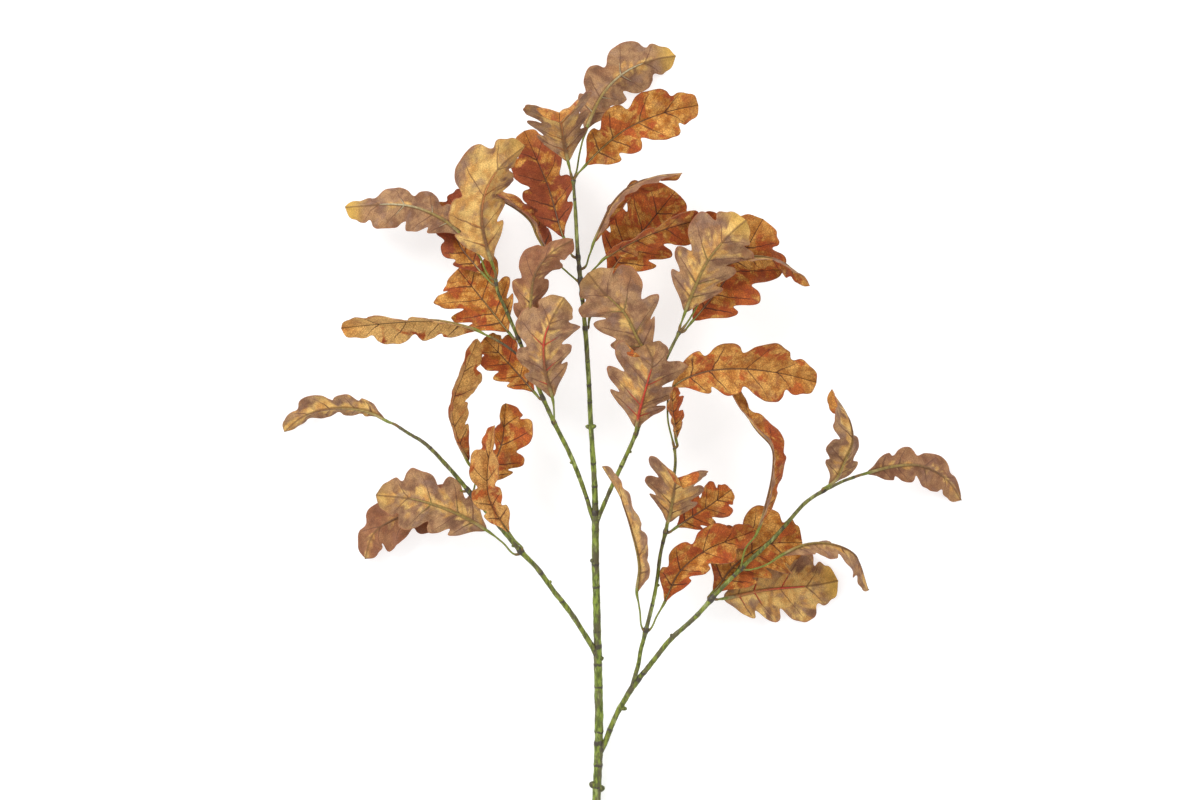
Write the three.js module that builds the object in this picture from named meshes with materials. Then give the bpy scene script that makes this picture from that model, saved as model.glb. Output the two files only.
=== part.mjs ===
// An artificial autumn oak-leaf spray lying on a table: one moulded stem with four side branches
// and two twigs, and forty printed fabric leaves, each with its own stalk.
// Millimetres, +Z up. The spray lies along +Y with its cut end toward -Y. While it is being drawn,
// x = 0 is near the main stem and z = 0 is the table; at the end the whole group is moved so that
// the origin is the bottom centre of its bounding box.

import * as THREE from "three";

// ---------------------------------------------------------------- driving dimensions (mm, degrees)

const STEM_SIDES = 8;          // corners of a stem's cross-section
const STEM_STEP = 13;          // distance between two cross-sections of a stem
const STALK_HALF_WIDTH = 0.8;  // a leaf's stalk, across
const RIB_FRONT = 0.5;         // how far the midrib stands out of the front of a leaf
const RIB_BACK = 1.1;          // ... and out of its back, where a real midrib is thicker
const RIB_TAPER = 0.55;        // share of the rib's thickness that is lost on the way to the tip
const BLADE_WIDTH = 72;        // a leaf's full width over its widest lobes
const LOBE_SWEEP = 24;         // angle by which the lobes point forward
const SWEEP_END = 0.3;         // share of the blade, before the tip, over which they straighten up
const BLADE_FOLD = 20;         // angle by which each half of a blade is lifted off flat

// Half of the lobed outline, from the end of the stalk to the tip: where a row leaves the midrib,
// and how far it reaches, as shares of the blade's length and of its half width.
const BLADE_ROWS = [
  [0.01, 0.06], [0.05, 0.22], [0.095, 0.42], [0.135, 0.60], [0.165, 0.68], [0.19, 0.66], [0.218, 0.46],
  [0.24, 0.50], [0.262, 0.74], [0.29, 0.88], [0.325, 0.93], [0.365, 0.88], [0.40, 0.72], [0.43, 0.48],
  [0.455, 0.52], [0.48, 0.76], [0.52, 0.93], [0.57, 1.0], [0.62, 0.99], [0.665, 0.90], [0.705, 0.72],
  [0.74, 0.47], [0.77, 0.42], [0.81, 0.49], [0.855, 0.50], [0.90, 0.44], [0.945, 0.32], [0.98, 0.17],
];

const COLOURS = {
  green: 0x7c9a3a, brown: 0x4a3a22, orange: 0xc8702c, rust: 0x9a4420, mauve: 0xa8897c, tan: 0xc49c5c,
};

// ---------------------------------------------------------------- stems
// Each stem is a list of stations: x, y, z and radius.

const STEMS = {
  main_stem: [
    [-4, -45, 4.6, 4.4], [-3, 0, 6, 4.4], [-1, 45, 10, 4.3], [-1, 90, 15, 4.2], [-2, 135, 21, 4.0],
    [-3, 180, 28, 3.8], [-4, 216, 34, 3.7], [-4, 254, 39, 3.5], [-5, 288, 43, 2.8], [-8, 336, 48, 2.5],
    [-10, 378, 52, 2.4], [-13, 423, 56, 2.3], [-17, 464, 59, 2.1], [-20, 495, 61, 2.0],
    [-22, 531, 63, 1.8], [-24, 560, 65, 1.5],
  ],
  right_branch: [
    [4.6, 50, 12, 1.0], [9, 62, 14, 2.6], [15, 76, 17, 2.8], [32, 105, 25, 3.0], [45, 121, 30, 2.6],
    [63, 144, 36, 2.5], [76, 156, 40, 2.5], [90, 169, 43, 2.4], [101, 182, 45, 2.4],
    [126, 208, 48, 2.2], [158, 238, 50, 2.0], [187, 270, 49, 1.9], [200, 278, 48, 1.8],
    [220, 288, 46, 1.6], [231, 292, 45, 1.4],
  ],
  right_twig: [
    [31.5, 110.5, 28.5, 0.8], [34, 118, 31, 1.9], [36, 131, 35, 2.1], [41, 151, 41, 2.1],
    [50, 189, 48, 1.9], [55, 225, 53, 1.8], [59, 241, 55, 1.8], [65, 279, 58, 1.6], [68, 306, 60, 1.5],
    [67, 319, 61, 1.3],
  ],
  left_branch: [
    [-6.8, 138, 24, 1.0], [-13, 148, 27, 2.5], [-28, 171, 33, 2.7], [-42, 189, 38, 2.5],
    [-58, 211, 42, 2.5], [-70, 223, 45, 2.4], [-93, 250, 48, 2.3], [-114, 274, 50, 2.2],
    [-139, 303, 50, 2.1], [-158, 322, 48, 1.9], [-168, 328, 47, 1.7], [-182, 337, 45, 1.4],
  ],
  upper_left_branch: [
    [-8.4, 260, 41, 0.9], [-13, 276, 44, 2.2], [-26, 310, 50, 2.3], [-40, 338, 55, 2.2],
    [-51, 362, 59, 2.1], [-63, 391, 62, 2.0], [-74, 418, 64, 1.9], [-85, 443, 65, 1.7],
    [-92, 459, 66, 1.6], [-94, 471, 66, 1.3],
  ],
  upper_left_twig: [
    [-66.5, 393.5, 64.5, 0.7], [-78, 405, 68, 1.3], [-95, 416, 71, 1.1],
  ],
  upper_right_branch: [
    [0.4, 259, 42, 0.9], [6, 272, 45, 2.1], [14, 290, 49, 2.2], [31, 327, 55, 2.1], [45, 365, 59, 2.0],
    [60, 399, 62, 1.8], [72, 423, 64, 1.4],
  ],
};

// ---------------------------------------------------------------- leaves
// path: hand-placed points of the midrib, from the foot of the stalk to the tip.
// stalk: length of the stalk. width: full width, if it isn't BLADE_WIDTH. fold: if not BLADE_FOLD.
// roll: turn about the midrib at the base and at the tip; 0 has the front up and 180 the back up.
// halves: width of the left and right half, seen from the back, as a share of the usual one.

const LEAVES = {
  // on the main stem
  crown_leaf_1: {
    path: [[-22, 563, 64], [-14, 600, 52], [4, 639, 36], [24, 658, 24], [49, 669, 11], [69, 673, 0.2]],
    stalk: 44, roll: [200, 200], width: 55, colour: "mauve",
  },
  crown_leaf_2: {
    path: [[-21, 563, 68], [0, 585, 84], [24, 604, 90], [56, 618, 86], [88, 626, 74]],
    stalk: 14, roll: [-5, 5], width: 57, colour: "orange",
  },
  crown_leaf_3: {
    path: [[-26, 564, 69], [-31, 586, 82], [-34, 604, 98], [-36, 615, 113], [-36, 617, 127],
      [-36, 608, 137]],
    stalk: 12, roll: [178, 182], width: 70, colour: "mauve",
  },
  crown_leaf_4: {
    path: [[-24, 490, 59], [-33, 508, 52], [-46, 552, 43], [-56, 576, 38], [-68, 604, 32]],
    stalk: 20, roll: [-10, -10], width: 58, colour: "rust",
  },
  crown_leaf_5: {
    path: [[-20, 468, 60], [-40, 486, 54], [-55, 507, 50], [-63, 523, 50], [-88, 540, 52], [-126, 549, 52]],
    stalk: 28, roll: [80, 85], width: 50, colour: "orange",
  },
  crown_leaf_6: {
    path: [[-14, 480, 61], [-7, 497, 66], [3, 520, 72], [11, 536, 76], [25, 551, 78], [50, 562, 76],
      [74, 565, 70]],
    stalk: 24, roll: [80, 75], width: 48, colour: "orange",
  },
  crown_leaf_7: {
    path: [[-13, 457, 58], [6, 473, 57], [27, 500, 54], [41, 516, 50], [68, 549, 42]],
    stalk: 26, roll: [0, 0], width: 84, fold: 12, colour: "rust",
  },
  crown_leaf_8: {
    path: [[-14, 470, 61], [5, 488, 70], [24, 500, 76], [54, 513, 78], [90, 522, 72], [114, 520, 66]],
    stalk: 26, roll: [60, 30], width: 40, colour: "orange",
  },
  crown_leaf_9: {
    path: [[-10.5, 426, 54], [-8, 438, 46], [10, 454, 38], [34, 470, 30]],
    stalk: 12, roll: [0, 0], width: 40, colour: "orange",
  },
  // on the upper right branch
  upper_right_leaf_1: {
    path: [[32, 331, 58], [35, 348, 68], [43, 378, 80], [47, 396, 86], [41, 411, 88]],
    stalk: 5, roll: [180, 180], width: 76, halves: [1.15, 0.85], colour: "mauve",
  },
  upper_right_leaf_2: {
    path: [[50, 377, 62.5], [47, 396, 68], [35, 414, 73], [22, 439, 78], [2, 459, 80], [-11, 475, 80]],
    stalk: 22, roll: [180, 180], width: 74, colour: "mauve",
  },
  upper_right_leaf_3: {
    path: [[72, 427, 65], [84, 459, 80], [97, 486, 92], [117, 510, 97], [131, 522, 97]],
    stalk: 14, roll: [180, 180], width: 72, colour: "mauve",
  },
  upper_right_leaf_4: {
    path: [[76, 423, 62], [100, 452, 54], [124, 484, 50], [147, 524, 46]],
    stalk: 12, roll: [5, 0], width: 84, fold: 14, colour: "rust",
  },
  upper_right_leaf_5: {
    path: [[76, 427, 64], [94, 456, 65], [112, 480, 68], [135, 489, 72], [158, 487, 71], [176, 477, 66],
      [189, 464, 58]],
    stalk: 62, roll: [70, 70], width: 36, colour: "tan",
  },
  // on the upper left branch
  upper_left_leaf_1: {
    path: [[-41, 341, 58.5], [-42, 360, 72], [-49, 387, 86], [-50, 414, 91], [-43, 434, 91], [-32, 453, 88]],
    stalk: 26, roll: [180, 180], width: 62, colour: "mauve",
  },
  upper_left_leaf_2: {
    path: [[-54, 362, 56.5], [-76, 387, 48], [-104, 417, 42]],
    stalk: 8, roll: [0, 0], width: 46, colour: "orange",
  },
  upper_left_leaf_3: {
    path: [[-61, 394, 63.5], [-64, 420, 70], [-62, 450, 80], [-58, 474, 88], [-45, 492, 88], [-24, 505, 84]],
    stalk: 26, roll: [215, 150], width: 46, fold: 34, colour: "mauve",
  },
  upper_left_leaf_4: {
    path: [[-77, 416, 62], [-84, 424, 59], [-99, 443, 54], [-112, 459, 50], [-128, 479, 44]],
    stalk: 8, roll: [0, 0], width: 78, fold: 14, colour: "orange",
  },
  upper_left_leaf_5: {
    path: [[-97, 417, 72], [-117, 425, 75], [-148, 432, 72], [-180, 431, 62], [-233, 426, 46]],
    stalk: 14, roll: [-75, -35], width: 48, colour: "orange",
  },
  upper_left_leaf_6: {
    path: [[-94, 475, 67], [-102, 500, 80], [-106, 526, 88], [-102, 549, 90], [-90, 569, 88], [-67, 589, 82]],
    stalk: 10, roll: [180, 225], width: 70, colour: "tan",
  },
  upper_left_leaf_7: {
    path: [[-97, 470, 66], [-108, 490, 70], [-135, 519, 68], [-162, 533, 60], [-185, 537, 52],
      [-230, 535, 36]],
    stalk: 48, roll: [180, 205], width: 50, colour: "mauve",
  },
  upper_left_leaf_8: {
    path: [[-96.5, 465, 65], [-112, 482, 56], [-127, 502, 48], [-132, 522, 38], [-121, 552, 26]],
    stalk: 14, roll: [-10, 0], width: 42, colour: "rust",
  },
  // on the left branch
  left_leaf_1: {
    path: [[-75, 221.5, 44], [-100, 242, 47], [-130, 259, 47], [-166, 271, 41], [-202, 275, 31]],
    stalk: 34, roll: [180, 180], width: 65, colour: "mauve",
  },
  left_leaf_2: {
    path: [[-70, 227, 48.5], [-83, 243, 60], [-99, 272, 68], [-101, 294, 72], [-95, 338, 74]],
    stalk: 22, roll: [15, -55], width: 56, fold: 38, halves: [0.8, 0.65], colour: "orange",
  },
  left_leaf_3: {
    path: [[-122.5, 278.5, 47], [-129, 279, 28], [-148, 266, 13], [-188, 252, 10.5], [-205, 240, 10.5],
      [-213, 217, 7.5]],
    stalk: 16, roll: [170, 175], width: 50, fold: 6, colour: "mauve",
  },
  left_leaf_4: {
    path: [[-114, 278, 52.5], [-112, 291, 56], [-119, 307, 60], [-129, 328, 66], [-133, 355, 70],
      [-124, 382, 68], [-110, 416, 60]],
    stalk: 30, roll: [80, 55], width: 48, colour: "orange",
  },
  left_leaf_5: {
    path: [[-111, 276, 47], [-100, 296, 42], [-89, 320, 40], [-85, 358, 36]],
    stalk: 8, roll: [0, 0], width: 56, halves: [1.05, 0.35], colour: "orange",
  },
  left_leaf_6: {
    path: [[-185, 339, 45], [-211, 351, 36], [-243, 353, 24], [-270, 345, 11], [-286, 332, 0.2]],
    stalk: 8, roll: [120, 125], width: 34, colour: "orange",
  },
  // on the right branch
  right_leaf_1: {
    path: [[98, 183, 41.5], [106, 192, 38], [122, 212, 34], [150, 230, 31], [183, 232, 28]],
    stalk: 6, roll: [5, 0], width: 78, colour: "orange",
  },
  right_leaf_2: {
    path: [[105, 181, 43.5], [114, 182, 34], [149, 189, 20], [194, 193, 10], [216, 197, 6]],
    stalk: 10, roll: [180, 180], width: 72, fold: 12, colour: "mauve",
  },
  right_leaf_3: {
    path: [[127, 210.5, 51.6], [131, 227, 57], [142, 241, 60], [150, 266, 64], [156, 297, 68],
      [155, 318, 68], [141, 334, 66], [122, 362, 60], [116, 380, 54]],
    stalk: 38, roll: [85, 55], width: 36, colour: "tan",
  },
  right_leaf_4: {
    path: [[130, 208, 50], [144, 210, 52], [161, 219, 52], [185, 230, 50], [207, 231, 46], [230, 221, 38],
      [243, 189, 22]],
    stalk: 36, roll: [110, 130], width: 46, colour: "mauve",
  },
  right_leaf_5: {
    path: [[201, 281, 51], [212, 289, 58], [220, 306, 66], [227, 324, 72], [223, 346, 70], [208, 370, 62]],
    stalk: 6, roll: [-150, -40], width: 54, colour: "orange",
  },
  right_leaf_6: {
    path: [[234, 293, 45], [265, 301, 38], [292, 301, 26], [315, 288, 12], [328, 270, 1.2]],
    stalk: 6, roll: [180, 180], width: 38, colour: "mauve",
  },
  // on the right twig
  right_twig_leaf_1: {
    path: [[44, 153, 41], [58, 178, 46], [72, 206, 48], [95, 225, 46], [118, 235, 44], [140, 243, 41]],
    stalk: 30, roll: [-15, 10], width: 48, fold: 28, colour: "rust",
  },
  right_twig_leaf_2: {
    path: [[39, 154, 43.5], [34, 187, 55], [36, 211, 64], [29, 243, 71], [18, 274, 75], [2, 301, 72]],
    stalk: 36, roll: [100, 95], width: 44, colour: "orange",
  },
  right_twig_leaf_3: {
    path: [[59, 243, 59], [63, 258, 71], [66, 276, 88], [68, 288, 103], [70, 291, 116], [74, 281, 125]],
    stalk: 8, roll: [180, 180], width: 64, colour: "mauve",
  },
  right_twig_leaf_4: {
    path: [[63, 242, 53], [79, 253, 46], [98, 265, 40], [119, 280, 34]],
    stalk: 8, roll: [0, 0], width: 42, colour: "rust",
  },
  right_twig_leaf_5: {
    path: [[70, 320, 62], [68, 333, 68], [65, 355, 76], [65, 373, 80]],
    stalk: 6, roll: [60, 50], width: 30, colour: "rust",
  },
  right_twig_leaf_6: {
    path: [[66, 322, 62], [61, 345, 62], [65, 371, 64], [90, 385, 68], [123, 389, 66], [162, 385, 58],
      [195, 377, 46]],
    stalk: 50, roll: [-5, 0], width: 60, colour: "orange",
  },
};

// ---------------------------------------------------------------- building one piece

// A closed body from rows of corners, with an end point before the first row and after the last.
// Every quad is split from an even corner to the next row's odd corner, so that the two skins of a
// thin blade are split alike and never cut through each other.
function loft(start, rows, end) {
  const sides = rows[0].length;
  const points = [start, ...rows.flat(), end];
  const corner = (row, side) => 1 + row * sides + ((side + sides) % sides);
  const triangles = [];
  for (let side = 0; side < sides; side += 1) {
    triangles.push([0, corner(0, side + 1), corner(0, side)]);
    for (let row = 0; row + 1 < rows.length; row += 1) {
      const [a, b] = [corner(row, side), corner(row, side + 1)];
      const [c, d] = [corner(row + 1, side + 1), corner(row + 1, side)];
      if (side % 2 === 0) triangles.push([a, b, c], [a, c, d]);
      else triangles.push([a, b, d], [b, c, d]);
    }
    triangles.push([points.length - 1, corner(rows.length - 1, side), corner(rows.length - 1, side + 1)]);
  }
  const geometry = new THREE.BufferGeometry();
  geometry.setAttribute("position", new THREE.Float32BufferAttribute(points.flatMap((p) => p.toArray()), 3));
  geometry.setIndex(triangles.flat());
  return geometry;
}

// A frame that is carried along a curve without twisting: at each share u of its length, the point,
// the tangent, and a normal that starts as near to straight up as it can be.
function framesAlong(curve, shares) {
  const frames = [];
  let tangent = curve.getTangentAt(0);
  const up = new THREE.Vector3(0, 0, 1);
  let normal = up.clone().addScaledVector(tangent, -up.dot(tangent)).normalize();
  for (const share of shares) {
    const next = curve.getTangentAt(share);
    normal = normal.clone().applyQuaternion(new THREE.Quaternion().setFromUnitVectors(tangent, next));
    tangent = next;
    frames.push({ point: curve.getPointAt(share), tangent, normal });
  }
  return frames;
}

function smoothCurve(points) {
  const knots = points.map(([x, y, z]) => new THREE.Vector3(x, y, z));
  return new THREE.CatmullRomCurve3(knots, false, "centripetal");
}

// A tapered stem through its stations.
function stemGeometry(stations) {
  const curve = smoothCurve(stations);
  curve.arcLengthDivisions = 60 * stations.length;
  const length = curve.getLength();
  const count = Math.max(3, Math.round(length / STEM_STEP));
  const shares = Array.from({ length: count + 1 }, (unused, i) => i / count);
  const rows = framesAlong(curve, shares).map(({ point, tangent, normal }, i) => {
    const station = curve.getUtoTmapping(shares[i]) * (stations.length - 1);
    const before = Math.min(Math.floor(station), stations.length - 2);
    const radius = THREE.MathUtils.lerp(stations[before][3], stations[before + 1][3], station - before);
    return Array.from({ length: STEM_SIDES }, (unused, side) => {
      const angle = (2 * Math.PI * side) / STEM_SIDES;
      return point.clone().addScaledVector(normal.clone().applyAxisAngle(tangent, angle), radius);
    });
  });
  return loft(curve.getPointAt(0), rows, curve.getPointAt(1));
}

// One leaf: a thin stalk that runs on as the midrib of a lobed blade. Each row has four corners:
// one edge, the rib's front, the other edge and the rib's back.
function leafGeometry({ path, stalk, roll, width = BLADE_WIDTH, fold = BLADE_FOLD, halves = [1, 1] }) {
  const curve = smoothCurve(path);
  const bladeStart = stalk / curve.getLength();
  const stalkRows = [0, 0.5, 0.96].map((along) => ({ share: along * bladeStart, reach: 0, blade: 0 }));
  const bladeRows = BLADE_ROWS.map(([along, reach]) => (
    { share: bladeStart + along * (1 - bladeStart), reach, blade: along }));
  const plan = [...stalkRows, ...bladeRows];
  const frames = framesAlong(curve, plan.map((row) => row.share));
  const lift = THREE.MathUtils.degToRad(fold);
  const sweep = THREE.MathUtils.degToRad(LOBE_SWEEP);
  const rows = frames.map(({ point, tangent, normal }, i) => {
    const { share, reach, blade } = plan[i];
    const swept = reach > 0 ? sweep * Math.min(1, (1 - blade) / SWEEP_END) : 0;
    const lifted = reach > 0 ? lift : 0;
    const turn = THREE.MathUtils.degToRad(THREE.MathUtils.lerp(roll[0], roll[1], share));
    const front = normal.clone().applyAxisAngle(tangent, turn);
    const across = new THREE.Vector3().crossVectors(front, tangent);
    const edge = (side, half) => {
      const outward = across.clone().multiplyScalar(side * Math.cos(lifted));
      outward.addScaledVector(front, Math.sin(lifted));
      const distance = Math.max(reach * half * width / 2, STALK_HALF_WIDTH);
      return point.clone()
        .addScaledVector(outward, distance * Math.cos(swept))
        .addScaledVector(tangent, distance * Math.sin(swept));
    };
    const thickness = 1 - RIB_TAPER * blade;
    return [
      edge(1, halves[1]), point.clone().addScaledVector(front, RIB_FRONT * thickness),
      edge(-1, halves[0]), point.clone().addScaledVector(front, -RIB_BACK * thickness),
    ];
  });
  return loft(curve.getPointAt(0), rows, curve.getPointAt(1));
}

// ---------------------------------------------------------------- the spray

function materialFor(colour) {
  const moulded = colour === "green" || colour === "brown";
  const roughness = moulded ? 0.45 : 0.85;
  return new THREE.MeshStandardMaterial({ color: COLOURS[colour], roughness, metalness: 0 });
}

function addPiece(group, name, geometry, colour) {
  const piece = new THREE.Mesh(geometry, materialFor(colour));
  piece.name = name;
  group.add(piece);
}

function buildSpray() {
  const spray = new THREE.Group();
  for (const [name, stations] of Object.entries(STEMS)) {
    addPiece(spray, name, stemGeometry(stations), name === "upper_left_twig" ? "brown" : "green");
  }
  for (const [name, leaf] of Object.entries(LEAVES)) {
    addPiece(spray, name, leafGeometry(leaf), leaf.colour);
  }
  const box = new THREE.Box3().setFromObject(spray, true);
  const middle = box.getCenter(new THREE.Vector3());
  spray.position.set(-middle.x, -middle.y, -box.min.z);
  return spray;
}

export default buildSpray();
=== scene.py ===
# %% [markdown]
# # An artificial autumn oak-leaf spray
# The real thing is a decoration: a green moulded stem with four side branches and two twigs, and
# forty leaves of printed polyester cloth. Each leaf is heat-pressed, so it keeps its folds, and has
# a plastic rib welded to its back that runs out of the leaf as its stalk.
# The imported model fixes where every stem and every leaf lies. Here each one is made again with the
# roundness, thickness and print of the real piece, in exactly the same place.

# %% Load the fixed frame
import math

import bmesh
import bpy
import numpy as np
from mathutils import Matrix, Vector, noise


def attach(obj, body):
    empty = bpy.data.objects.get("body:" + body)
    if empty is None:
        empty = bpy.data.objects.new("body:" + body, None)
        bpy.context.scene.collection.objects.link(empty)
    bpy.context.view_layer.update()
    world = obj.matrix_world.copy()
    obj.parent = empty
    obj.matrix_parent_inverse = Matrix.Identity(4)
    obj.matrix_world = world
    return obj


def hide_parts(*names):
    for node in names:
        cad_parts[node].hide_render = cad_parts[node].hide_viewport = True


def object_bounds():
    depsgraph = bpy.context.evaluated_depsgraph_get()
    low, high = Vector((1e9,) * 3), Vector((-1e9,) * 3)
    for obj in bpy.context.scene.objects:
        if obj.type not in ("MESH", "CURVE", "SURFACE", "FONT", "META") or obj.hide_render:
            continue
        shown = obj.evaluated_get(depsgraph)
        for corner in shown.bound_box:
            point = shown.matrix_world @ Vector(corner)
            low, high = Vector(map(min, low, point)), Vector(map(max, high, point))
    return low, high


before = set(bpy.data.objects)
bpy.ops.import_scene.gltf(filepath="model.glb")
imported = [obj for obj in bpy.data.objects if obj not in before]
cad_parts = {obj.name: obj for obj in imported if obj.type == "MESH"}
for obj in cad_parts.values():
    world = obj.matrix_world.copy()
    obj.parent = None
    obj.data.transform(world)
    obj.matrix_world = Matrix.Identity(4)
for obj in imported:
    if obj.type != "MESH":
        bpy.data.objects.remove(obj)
cad_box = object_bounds()

MM = 0.001
STEMS = sorted(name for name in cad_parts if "leaf" not in name)
LEAVES = sorted(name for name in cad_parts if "leaf" in name)
print(len(STEMS), "stems and", len(LEAVES), "leaves, box in mm:",
      [round(side / MM) for side in cad_box[1] - cad_box[0]])

# %% [markdown]
# ## Reading the plan of a leaf and of a stem
# Each CAD piece is a chain of rings: four corners to a ring on a leaf, eight on a stem. The corners
# could be typed in again, but then two lists would have to be kept alike. It is safer to read them:
# a copy of the mesh is merged, and the rings are found by walking from the first end point outwards,
# one step of edges at a time. The CAD mesh itself is left alone.

# %% Walk a CAD piece ring by ring


def merged_corners(node):
    """The corners of a CAD piece and, for each one, its neighbours."""
    copy = bmesh.new()
    copy.from_mesh(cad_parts[node].data)
    bmesh.ops.remove_doubles(copy, verts=copy.verts, dist=0.01 * MM)
    copy.verts.ensure_lookup_table()
    copy.verts.index_update()
    corners = np.array([vert.co[:] for vert in copy.verts])
    near = [[edge.other_vert(vert).index for edge in vert.link_edges] for vert in copy.verts]
    copy.free()
    return corners, near


def rings_from(start, near):
    """Lists of corners that are 0, 1, 2 ... edges away from start."""
    rings, seen = [[start]], {start}
    while True:
        ahead = sorted({other for corner in rings[-1] for other in near[corner]} - seen)
        if not ahead:
            return rings
        rings.append(ahead)
        seen.update(ahead)


def unit(vectors):
    return vectors / np.maximum(np.linalg.norm(vectors, axis=-1, keepdims=True), 1e-12)


def walk(points):
    """How far along a line of points each one is."""
    return np.concatenate([[0], np.cumsum(np.linalg.norm(np.diff(points, axis=0), axis=1))])


# %% Read a stem: the middle and the radius of each ring
STEM_CORNERS = 8
EVEN_SPOKES = 0.02    # all spokes of an end point are alike, give or take this share


def stem_spine(node):
    """The middle and the radius of each ring, from the foot of a stem to its end."""
    corners, near = merged_corners(node)
    ends = []
    for corner, others in enumerate(near):
        spokes = np.linalg.norm(corners[others] - corners[corner], axis=1)
        if len(others) == STEM_CORNERS and spokes.max() - spokes.min() < EVEN_SPOKES * spokes.max():
            ends.append(corner)
    foot = min(ends, key=lambda corner: corners[corner][1])
    rings = rings_from(foot, near)[1:-1]
    middles = np.array([corners[ring].mean(axis=0) for ring in rings])
    radii = np.array([np.linalg.norm(corners[ring] - middle, axis=1).mean()
                      for ring, middle in zip(rings, middles)])
    return middles, radii


spines = {node: stem_spine(node) for node in STEMS}
print("stem lengths in mm:", {
    node: round(np.linalg.norm(np.diff(middles, axis=0), axis=1).sum() / MM)
    for node, (middles, radii) in spines.items()})

# %% Read a leaf: for each ring the midrib, the side that faces out of the front, and both edges
RIB_FRONT_SHARE = 0.5 / 1.6  # the midrib lies this far from the rib's front to its back


def leaf_rings(node):
    """The rings of a leaf from the foot of its stalk to its tip, which is a single point."""
    corners, near = merged_corners(node)

    def spread(corner):
        return np.linalg.norm(corners[near[corner]] - corners[corner], axis=1).sum()

    foot = min((c for c in range(len(corners)) if len(near[c]) == 4), key=spread)
    rings = rings_from(foot, near)
    edges = [c for c in rings[1] if len(set(near[c]) & set(rings[2])) == 3]
    ribs = [c for c in rings[1] if c not in edges]
    front, back = sorted(ribs, key=lambda c: np.linalg.norm(corners[c] - corners[foot]))
    rows = []
    for ring, following in zip(rings[1:-1], rings[2:]):
        rows.append([front, back, *edges])
        if len(following) == 1:
            break
        front, back = (next(c for c in near[rib] if c in following) for rib in (front, back))
        outer = set(following) - {front, back}
        edges = [next(c for c in near[edge] if c in outer) for edge in edges]
    rows = corners[np.array(rows)]
    midrib = rows[:, 0] + (rows[:, 1] - rows[:, 0]) * RIB_FRONT_SHARE
    facing = unit(rows[:, 0] - rows[:, 1])
    ahead = np.gradient(midrib, axis=0)
    middle = len(rows) // 2
    if np.dot(rows[middle, 2] - midrib[middle], np.cross(facing[middle], ahead[middle])) < 0:
        rows = rows[:, [0, 1, 3, 2]]
    return {"midrib": midrib, "facing": facing, "left": rows[:, 2] - midrib,
            "right": rows[:, 3] - midrib, "tip": corners[rings[-1][0]]}


rings_of = {node: leaf_rings(node) for node in LEAVES}
print("rings on a leaf:", {len(rings["midrib"]) for rings in rings_of.values()})

# %% [markdown]
# ## From rings to a smooth sheet
# The CAD outline is a chain of straight steps. Real lobes are round, so a smooth curve is drawn
# through the rings. A leaf then has two coordinates: along, 0 at the end of the stalk and 1 at the
# tip, and across, -1 at the left edge, 0 on the midrib and 1 at the right edge. Everything else on
# the leaf, from its quilting to its printed veins, is placed with those two.

# %% A smooth curve through uneven knots


def smooth_between(knots, values, where):
    """Reads, at where, the smooth curve that passes through values at knots."""
    slopes = np.gradient(values, knots, axis=0)
    first = np.clip(np.searchsorted(knots, where, side="right") - 1, 0, len(knots) - 2)
    gap = knots[first + 1] - knots[first]
    t = (where - knots[first]) / gap
    if values.ndim > 1:
        gap, t = gap[:, None], t[:, None]
    return ((1 + 2 * t) * (1 - t) ** 2 * values[first] + t * (1 - t) ** 2 * gap * slopes[first]
            + t * t * (3 - 2 * t) * values[first + 1] + t * t * (t - 1) * gap * slopes[first + 1])


def rise(low, high, values):
    """0 below low, 1 above high, and a smooth step between."""
    t = np.clip((values - low) / (high - low), 0, 1)
    return t * t * (3 - 2 * t)


def waves(x, y, seed):
    """Soft unevenness between about -1 and 1 that never repeats."""
    return np.array([2 * noise.noise((float(a), float(b), 7.3 * seed)) for a, b in zip(x, y)])


# %% The plan of one leaf
STALK_RINGS = 3
# where each secondary vein ends on the edge, one to each pair of lobes; whole numbers are veins
VEIN_ENDS = np.array([0.0, 0.170, 0.325, 0.595, 0.83, 1.0])
VEIN_NUMBERS = np.array([0.45, 1, 2, 3, 4, 4.55])
VEIN_LEAN = 0.15     # how much earlier a vein leaves the midrib, as a share of its place
LOBE_WANDER = 0.014  # how far the lobes slide along the leaf, so that pairs don't match
ROUND_TIP = 0.4      # how much wider the very tip is than the CAD's, which makes it round
FULLNESS = 0.30      # how much the hollows between lobes are filled, which makes the lobes rounder
CLOTH_START = 0.0101  # how far before the first lobe ring the cloth starts, as a share of the blade
FOOT_SHARE = 0.4     # ... and how far back that is, from the first lobe ring to the last stalk ring


def leaf_plan(node):
    """All that the sheet of a leaf is drawn from, with its knots at 0 for the stalk and 1 for the tip."""
    rings = rings_of[node]
    midrib = np.vstack([rings["midrib"], rings["tip"]])
    travelled = walk(midrib)
    first = travelled[STALK_RINGS]
    start = first - (travelled[-1] - first) * CLOTH_START
    length = travelled[-1] - start
    knots = np.concatenate([[0], (travelled[STALK_RINGS:] - start) / length])
    foot = midrib[STALK_RINGS] - (midrib[STALK_RINGS] - midrib[STALK_RINGS - 1]) * FOOT_SHARE
    nothing = np.zeros((1, 3))
    return {
        "name": node, "seed": LEAVES.index(node) + 1, "length": length, "knots": knots,
        "midrib": np.vstack([foot, midrib[STALK_RINGS:]]),
        "facing": np.vstack([rings["facing"][STALK_RINGS], rings["facing"][STALK_RINGS:],
                             rings["facing"][-1]]),
        "left": np.vstack([nothing, rings["left"][STALK_RINGS:], nothing]),
        "right": np.vstack([nothing, rings["right"][STALK_RINGS:], nothing]),
        "stalk": rings["midrib"][:STALK_RINGS],
    }


plans = {node: leaf_plan(node) for node in LEAVES}
print("blade lengths in mm:", sorted({round(plan["length"] / MM) for plan in plans.values()}))

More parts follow.
